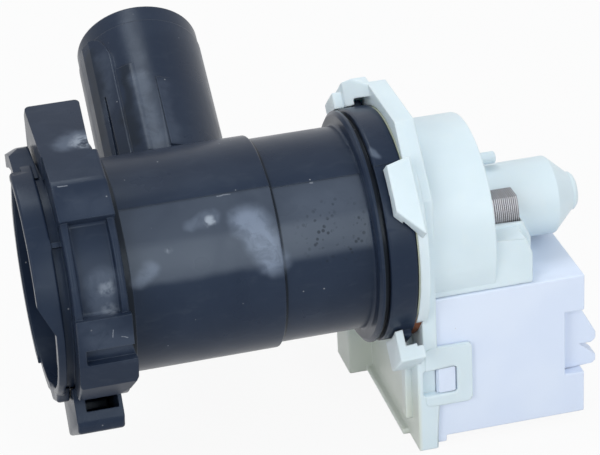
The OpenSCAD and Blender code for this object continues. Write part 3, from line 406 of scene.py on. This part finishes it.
def case_finish():
    """Bright cool white moulding of the coil case."""
    white, pale_white = (0.695, 0.775, 0.925), (0.735, 0.810, 0.945)
    worn_pale, speck_grey = (0.80, 0.86, 0.95), (0.45, 0.44, 0.42)
    f = new_finish("case_plastic")
    edge = f.rounded(0.5)
    cloud = f.noise(30, 2, 0.5).ramp(0.35, 0.7)
    specks = f.cells(7.5).ramp(0.035, 0.015) * f.noise(13, 2).ramp(0.54, 0.62)
    tone = f.mix(cloud, white, pale_white)
    tone = f.mix(f.edges(edge) * 0.4, tone, worn_pale)
    tone = f.mix(specks * 0.45, tone, speck_grey)
    grain = f.noise(0.7, 2) * 0.4 + f.noise(6, 2)
    return f.surface(
        Base_Color=tone, Roughness=f.uneven(10, 0.40, 0.52, 3), IOR=1.5,
        Subsurface_Weight=0.15, Subsurface_Radius=(1.0, 1.0, 1.0), Subsurface_Scale=1.0 * MM,
        Normal=f.bump(grain, 0.14, 0.1, edge),
    )


def plain_plastic(name, dark, light, roughness, blotch_mm):
    """Hidden or small mouldings: two close tones, a fine grain and rounded edges."""
    f = new_finish(name)
    tone = f.mix(f.noise(blotch_mm, 3).ramp(0.35, 0.65), dark, light)
    return f.surface(
        Base_Color=tone, Roughness=f.uneven(blotch_mm / 2, roughness - 0.05, roughness + 0.06), IOR=1.49,
        Normal=f.bump(f.noise(0.6, 2), 0.15, 0.08, f.rounded(0.3)),
    )


def rubber_tone(f, dark, light):
    """Two tones of rubber in small clouds."""
    return f.mix(f.noise(4, 3).ramp(0.4, 0.7), dark, light)


def rubber_surface(f, tone):
    """Closes a finish as dull rubber with a fine pebble."""
    return f.surface(
        Base_Color=tone, Roughness=f.uneven(2, 0.62, 0.78), IOR=1.5,
        Normal=f.bump(f.noise(0.4, 2), 0.3, 0.08),
    )


def mount_finish():
    """Black rubber with a dusty bloom, for the bearing mounts and the carrier's seal."""
    f = new_finish("black_rubber")
    return rubber_surface(f, rubber_tone(f, (0.012, 0.012, 0.013), (0.028, 0.028, 0.028)))


def seal_finish():
    """Brown-orange seal, pale with lime where water dried on it above the lower front."""
    lime = (0.50, 0.54, 0.42)
    lime_from, lime_full = -0.62, -0.40
    lime_end_y, lime_front_y = 34 * MM, 20 * MM
    f = new_finish("seal_rubber")
    limed = f.turned().ramp(lime_from, lime_full) * f.along("Y").ramp(lime_end_y, lime_front_y)
    tone = rubber_tone(f, (0.20, 0.060, 0.022), (0.32, 0.11, 0.045))
    tone = f.mix(limed * f.noise(3, 3).ramp(0.25, 0.45, 0.8, 1.0), tone, lime)
    return rubber_surface(f, tone)


def bare_metal(name, dark, light, roughness, along, size_mm):
    """Bare metal with fine drawn or stamped streaks."""
    f = new_finish(name)
    streak = f.noise(size_mm, 3, 0.6, f.stretch(along))
    stain = f.noise(7, 3).ramp(0.45, 0.75)
    tone = f.mix(streak.ramp(NOISE_LOW, NOISE_HIGH), dark, light)
    tone = f.mix(stain * 0.25, tone, tuple(c * 0.6 for c in dark))
    rough = streak.ramp(NOISE_LOW, NOISE_HIGH, roughness - 0.06, roughness + 0.08) + stain * 0.08
    return f.surface(Base_Color=tone, Metallic=1.0, Roughness=rough, Normal=f.bump(streak, 0.2, 0.03))


def core_finish(first_x):
    """Edges of the stamped core sheets: a bright sheared band and a dark torn one on every sheet."""
    sheet_pitch = 0.65 * MM
    sheared_bright, torn_dark, stain_brown = (0.40, 0.41, 0.44), (0.10, 0.10, 0.11), (0.26, 0.24, 0.23)
    f = new_finish("core_steel")
    share = f.math("FRACT", (f.along("X") - first_x) * (1 / sheet_pitch), 0.0)
    torn = share.ramp(0.42, 0.62) + f.uneven(0.5, -0.15, 0.15)
    stain = f.noise(4, 3, place=f.stretch((5.0, 0.6, 0.6))).ramp(0.42, 0.7)
    tone = f.mix(torn, sheared_bright, torn_dark)
    tone = f.mix(stain * 0.35, tone, stain_brown)
    rough = torn.ramp(0.0, 1.0, 0.42, 0.62)
    return f.surface(Base_Color=tone, Metallic=0.9, Roughness=rough, Normal=f.bump(torn, 0.3, 0.05))


def winding_finish():
    """Enamelled wire laid in level turns, with painted shade in the hollows between turns and painted
    highlight on their crowns.
    """
    wire_pitch = 0.35 * MM
    shaded_hollow, lit_crown, blotch = (0.17, 0.055, 0.018), (0.52, 0.21, 0.085), (0.32, 0.11, 0.04)
    f = new_finish("winding_wire")
    turn = f.math("SINE", f.along("Z") * (2 * math.pi / wire_pitch), 0.0)
    # Painted shade in the hollows between turns, painted highlight on their crowns.
    tone = f.mix(turn.ramp(-1.0, 1.0), shaded_hollow, lit_crown)
    tone = f.mix(f.noise(6, 2).ramp(0.4, 0.7) * 0.4, tone, blotch)
    return f.surface(
        Base_Color=tone, Metallic=0.8, Roughness=f.uneven(3, 0.28, 0.4), Coat_Weight=0.5,
        Normal=f.bump(turn, 0.6, 0.08),
    )


# Darker tone, lighter tone, roughness and size of the blotches in mm
PLAIN_PLASTICS = {
    "carrier_plastic": ((0.50, 0.51, 0.50), (0.58, 0.59, 0.57), 0.50, 8),
    "bobbin_plastic": ((0.56, 0.52, 0.42), (0.64, 0.60, 0.50), 0.45, 8),
    "impeller_plastic": ((0.035, 0.038, 0.042), (0.06, 0.064, 0.07), 0.42, 8),
    "washer_plastic": ((0.50, 0.44, 0.30), (0.58, 0.52, 0.38), 0.35, 3),
    "bearing_carbon": ((0.05, 0.048, 0.045), (0.085, 0.08, 0.075), 0.38, 3),
    "magnet_ferrite": ((0.035, 0.035, 0.04), (0.06, 0.06, 0.065), 0.45, 5),
}
# Darker tone, lighter tone, roughness, scale of the streaks along each axis and their size in mm
BARE_METALS = {
    "terminal_metal": ((0.58, 0.57, 0.54), (0.74, 0.73, 0.70), 0.28, (1, 4, 4), 1.5),
    "shaft_steel": ((0.55, 0.56, 0.57), (0.70, 0.71, 0.72), 0.18, (6, 1, 1), 1.0),
}
SLOT_FINISHES = {
    "housing_plastic": housing_finish(),
    "cover_plastic": cover_finish(),
    "case_plastic": case_finish(),
    "seal_rubber": seal_finish(),
    "black_rubber": mount_finish(),
    "core_steel": core_finish(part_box("stator_core")[0].x),
    "winding_wire": winding_finish(),
}
SLOT_FINISHES.update({slot: plain_plastic(slot, *row) for slot, row in PLAIN_PLASTICS.items()})
SLOT_FINISHES.update({slot: bare_metal(slot, *row) for slot, row in BARE_METALS.items()})


def dress(piece, finish):
    """Gives a piece one finish in place of what it had."""
    piece.data.materials.clear()
    piece.data.materials.append(finish)


for part in frame["record"]["subparts"]:
    dress(frame["nodes"][part["node"]], SLOT_FINISHES[part["material_slot"]])


# Mouldings with rounded edges

# Points closer than this are one, and faces thinner than a sliver go
WELD = 1e-6
SLIVER = 0.02 * MM
# Faces that meet flatter than this are one, and edges that turn more than the second are rounded
FLAT = math.radians(0.6)
SHARP = math.radians(10.5)
# Radius and steps of the wide arcs at the corners that a moulding picks
CORNER_R = 1.7 * MM
CORNER_STEPS = 10
# Where along an edge the width of a face is measured, and the least depth and length that count
ALONG_EDGE = (0.15, 0.5, 0.85)
LEAST_DEPTH = 1e-7
LEAST_LENGTH = 1e-9
# Most that a rounding takes of a face's width and of an edge's length
WIDTH_SHARE = 0.42
LENGTH_SHARE = 0.8
# Limits that keep a quotient finite
LEAST_SLOPE = 0.05
LEAST_TAKEN = 1e-6
# An edge with room for less than this share of the rounding stays sharp
LEAST_ROUNDING = 0.2
# A corner further off the solid than this share of the rounding's width was pulled off it
PULLED_OFF = 0.45
# A face that agrees less than this with the solid under it was turned over
TURNED_OVER = 0.2
# Least area of a face that counts, and the small and middling areas in squares of the rounding's width
LEAST_AREA = 1e-10
SMALL_FACE = 4
MIDDLING_FACE = 16
# Edges within this many widths of a spoiled place stay sharp, looked for in so many rounds
SPOILED_REACH = 1.1
SPOILED_ROUNDS = 5
# A corner normal that leans further off its face goes back to the face
LEAN = math.cos(math.radians(35))


def clear_across(face, loop):
    """Clear width of a face, measured square to one of its edges."""
    start, end = loop.vert.co, loop.link_loop_next.vert.co
    run = (end - start).normalized()
    inward = face.normal.cross(run)
    clear = math.inf
    for share in ALONG_EDGE:
        point = start.lerp(end, share)
        for other in face.loops:
            if other is loop:
                continue
            first = other.vert.co - point
            second = other.link_loop_next.vert.co - point
            a, b = first.dot(run), second.dot(run)
            if (a > 0) == (b > 0):
                continue
            depth = first.dot(inward) + (second - first).dot(inward) * a / (a - b)
            if depth > LEAST_DEPTH:
                clear = min(clear, depth)
    return clear


def corner_room(loop, sharp):
    """Largest rounding that the ends of an edge leave room for in a face."""
    before, after = loop.link_loop_prev, loop.link_loop_next
    start, end = loop.vert.co, after.vert.co
    run = end - start
    taken, room = 0.0, math.inf
    for side, other, away in (
        (before, before.vert.co - start, run),
        (after, after.link_loop_next.vert.co - end, -run),
    ):
        if other.length < LEAST_LENGTH or away.length < LEAST_LENGTH:
            return 0.0
        inside = other.angle(away)
        if side.edge in sharp:
            taken += 1 / max(math.tan(inside / 2), LEAST_SLOPE)
        else:
            room = min(room, LENGTH_SHARE * other.length * math.sin(inside))
    return min(room, LENGTH_SHARE * run.length / max(taken, LEAST_TAKEN))


def strays(piece, solid, width):
    """Places where rounding pulled a corner off the solid's surface or turned a small face over."""
    bpy.context.view_layer.update()
    made = piece.evaluated_get(bpy.context.evaluated_depsgraph_get()).to_mesh()
    made.calc_loop_triangles()
    spots = [v.co.copy() for v in made.vertices]
    off = {i for i, spot in enumerate(spots) if solid.find_nearest(spot)[3] > PULLED_OFF * width}
    found = [spots[v] for edge in made.edges if off.intersection(edge.vertices) for v in edge.vertices]
    for tri in made.loop_triangles:
        middle = sum((spots[v] for v in tri.vertices), Vector()) / 3
        facing = solid.find_nearest(middle)[1]
        if facing.dot(tri.normal) >= TURNED_OVER or tri.area <= LEAST_AREA:
            continue
        if tri.area < SMALL_FACE * width * width:
            found.append(middle)
        elif tri.area < MIDDLING_FACE * width * width:
            found.extend(spots[v] for v in tri.vertices)
    piece.to_mesh_clear()
    return found


def leave_sharp(piece, solid, width):
    """Takes the rounding off the edges beside faces that it spoiled, and says how many edges."""
    mesh = piece.data
    weights = mesh.attributes["bevel_weight_edge"].data
    points = strays(piece, solid, width)
    spoiled = 0
    for edge in mesh.edges:
        if weights[edge.index].value == 0.0:
            continue
        start, end = (mesh.vertices[v].co for v in edge.vertices)
        for point in points:
            share = intersect_point_line(point, start, end)[1]
            foot = start.lerp(end, min(max(share, 0.0), 1.0))
            if (foot - point).length < SPOILED_REACH * width:
                weights[edge.index].value = 0.0
                edge.use_edge_sharp = True
                spoiled += 1
                break
    return spoiled


def settle(piece):
    """Fixes the rounded shape, and takes corner normals that lean far off their face back to the face."""
    graph = bpy.context.evaluated_depsgraph_get()
    made = bpy.data.meshes.new_from_object(piece.evaluated_get(graph), depsgraph=graph)
    normals = []
    for face in made.polygons:
        for corner in face.loop_indices:
            normal = made.corner_normals[corner].vector
            normals.append(normal.copy() if normal.dot(face.normal) > LEAN else face.normal.copy())
    made.normals_split_custom_set(normals)
    made.name = piece.data.name
    piece.modifiers.clear()
    piece.data = made


def tab_corners(shape):
    """Edges at the two far corners of the support tab."""
    back, under, ring_end, upright = 24.4 * MM, 31 * MM, 23 * MM, 1 * MM
    return [
        edge for edge in shape.edges
        if all(v.co.y > back and v.co.z > under and v.co.x < ring_end for v in edge.verts)
        and abs(edge.verts[0].co.x - edge.verts[1].co.x) < upright
    ]


def cleaned_solid(node, corners):
    """A node's solid with whole faces, and with wide arcs at the edges that corners picks."""
    shape = bmesh.new()
    shape.from_mesh(frame["nodes"][node].data)
    bmesh.ops.remove_doubles(shape, verts=shape.verts, dist=WELD)
    bmesh.ops.dissolve_degenerate(shape, dist=SLIVER, edges=shape.edges)
    bmesh.ops.dissolve_limit(shape, angle_limit=FLAT, verts=shape.verts, edges=shape.edges)
    if corners:
        bmesh.ops.bevel(
            shape, geom=corners(shape), offset=CORNER_R, segments=CORNER_STEPS, profile=0.5, affect="EDGES",
        )
    shape.normal_update()
    return shape


def weigh_edges(shape, width):
    """Gives every sharp edge the share of the rounding that its faces have room for."""
    weight = shape.edges.layers.float.new("bevel_weight_edge")
    sharp = {e for e in shape.edges if len(e.link_faces) == 2 and e.calc_face_angle(0.0) > SHARP}
    for edge in sharp:
        room = math.inf
        for loop in edge.link_loops:
            room = min(room, WIDTH_SHARE * clear_across(loop.face, loop), corner_room(loop, sharp))
        share = min(1.0, room / width)
        edge[weight] = share if share > LEAST_ROUNDING else 0.0
        edge.smooth = share > LEAST_ROUNDING


def round_off(piece, solid, width, steps):
    """Rounds the weighted edges of a piece, apart from those where that spoils a face."""
    bevel = piece.modifiers.new("rounded edges", "BEVEL")
    bevel.limit_method = "WEIGHT"
    bevel.width = width
    bevel.segments = steps
    bevel.use_clamp_overlap = False
    bevel.miter_outer = "MITER_SHARP"
    for _ in range(SPOILED_ROUNDS):
        if not leave_sharp(piece, solid, width):
            break
    even = piece.modifiers.new("even faces", "WEIGHTED_NORMAL")
    even.keep_sharp = True
    settle(piece)


def rounded_copy(node, name, body, slot, width_mm, steps=2, corners=None):
    """A moulding with rounded edges in place of its CAD solid; corners picks edges for a wide arc."""
    width = width_mm * MM
    shape = cleaned_solid(node, corners)
    weigh_edges(shape, width)
    for face in shape.faces:
        face.smooth = True
    mesh = bpy.data.meshes.new(name)
    shape.to_mesh(mesh)
    solid = BVHTree.FromBMesh(shape)
    shape.free()
    piece = bpy.data.objects.new(name, mesh)
    bpy.context.scene.collection.objects.link(piece)
    round_off(piece, solid, width, steps)
    dress(piece, SLOT_FINISHES[slot])
    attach(piece, body)
    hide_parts(node)


rounded_copy("filter_housing", "housing_moulding", "housing", "housing_plastic", 1.0, 3, tab_corners)
rounded_copy("pump_cover", "cover_moulding", "pump_head", "cover_plastic", 0.6)
rounded_copy("coil_case", "case_moulding", "pump_head", "case_plastic", 0.5)


# Stage: white floor, soft light and the camera

WHITE = (1.0, 1.0, 1.0)
FLOOR_HALF = 4.0
FLOOR_GREY = (0.70, 0.70, 0.70)
# Share of the floor's own white in what the camera and reflections see; the rest keeps the shadow
FLOOR_GLOW = 0.92
AIR_TINT, AIR_STRENGTH = (0.94, 0.97, 1.0), 0.585
# Place and angles of the camera, from the fit of the pump's measured points, and the lens for this frame
CAMERA_MM = (-84.66, -716.18, 394.09)
YAW, RISE, ROLL = 0.23377, 0.48863, -0.0522
LENS_PX, FRAME_PX = 2612.0, 600.0
SENSOR_MM = 36.0
NEAREST, FURTHEST = 0.05, 50.0


def shown_directly(f):
    """One for what the camera sees straight, in a reflection or through clear material."""
    rays = ("Is Camera Ray", "Is Glossy Ray", "Is Transmission Ray")
    straight, glossy, clear = (f.node("ShaderNodeLightPath", output=ray) for ray in rays)
    return f.math("MAXIMUM", f.math("MAXIMUM", straight, glossy), clear)


def floor_finish():
    """White paper: it shows white to the camera and to reflections, and keeps the shadow."""
    f = new_finish("paper")
    paper = f.node("ShaderNodeBsdfDiffuse", None, {"Color": FLOOR_GREY})
    glow = f.node("ShaderNodeEmission", None, {"Color": WHITE, "Strength": 1.0})
    white_share = shown_directly(f) * FLOOR_GLOW
    return f.close(f.node("ShaderNodeMixShader", None, {0: white_share, 1: paper, 2: glow}))


def make_floor(level):
    """A wide plain floor under the part."""
    mesh = bpy.data.meshes.new("floor")
    around = ((-1, -1), (1, -1), (1, 1), (-1, 1))
    corners = [(x * FLOOR_HALF, y * FLOOR_HALF, level) for x, y in around]
    mesh.from_pydata(corners, [], [(0, 1, 2, 3)])
    floor = bpy.data.objects.new("floor", mesh)
    bpy.context.scene.collection.objects.link(floor)
    dress(floor, floor_finish())


def make_world():
    """Even light from all round, shown as white."""
    f = Finish(bpy.data.worlds.new("studio"))
    soft = f.node("ShaderNodeBackground", None, {"Color": AIR_TINT, "Strength": AIR_STRENGTH})
    white = f.node("ShaderNodeBackground", None, {"Color": WHITE, "Strength": 1.0})
    shown = f.node("ShaderNodeMixShader", None, {0: shown_directly(f), 1: soft, 2: white})
    bpy.context.scene.world = f.close(shown)


def softbox(name, place, aim, size, power, tint=WHITE):
    """A soft lamp that faces a point, with its width and height in metres and its power in watts."""
    data = bpy.data.lights.new(name, "AREA")
    data.shape = "RECTANGLE"
    data.size, data.size_y = size
    data.energy = power
    data.color = tint
    lamp = bpy.data.objects.new(name, data)
    lamp.location = place
    lamp.rotation_euler = (Vector(aim) - Vector(place)).to_track_quat("-Z", "Y").to_euler()
    bpy.context.scene.collection.objects.link(lamp)


def make_camera():
    """Camera at the photograph's angle."""
    ahead = Vector((math.sin(YAW) * math.cos(RISE), math.cos(YAW) * math.cos(RISE), -math.sin(RISE)))
    side = Vector((math.cos(YAW), -math.sin(YAW), 0.0))
    top = side.cross(ahead)
    right = math.cos(ROLL) * side + math.sin(ROLL) * top
    up = math.cos(ROLL) * top - math.sin(ROLL) * side
    data = bpy.data.cameras.new("camera")
    data.sensor_width = SENSOR_MM
    data.lens = data.sensor_width * LENS_PX / FRAME_PX
    data.clip_start, data.clip_end = NEAREST, FURTHEST
    camera = bpy.data.objects.new("camera", data)
    turn = Matrix((right, up, -ahead)).transposed()
    camera.matrix_world = Matrix.Translation(Vector(CAMERA_MM) * MM) @ turn.to_4x4()
    bpy.context.scene.collection.objects.link(camera)
    bpy.context.scene.camera = camera


make_floor(cad_box[0].z)
make_world()
softbox("front", place=(0.29, -1.02, 0.53), aim=(0.10, 0.0, 0.10), size=(0.30, 0.66), power=2.82)
softbox("left", place=(-0.80, -0.80, 0.50), aim=(0.08, 0.0, 0.05), size=(0.50, 0.80), power=4.4)
softbox(
    "right", place=(1.05, -0.45, 0.60), aim=(0.1, 0.0, 0.0), size=(0.8, 0.8), power=1.6,
    tint=(0.95, 0.97, 1.0),
)
softbox("top", place=(-0.08, 0.47, 1.30), aim=(0.06, 0.03, 0.0), size=(0.42, 0.60), power=5.0)
make_camera()
bpy.context.scene.view_settings.view_transform = "Standard"
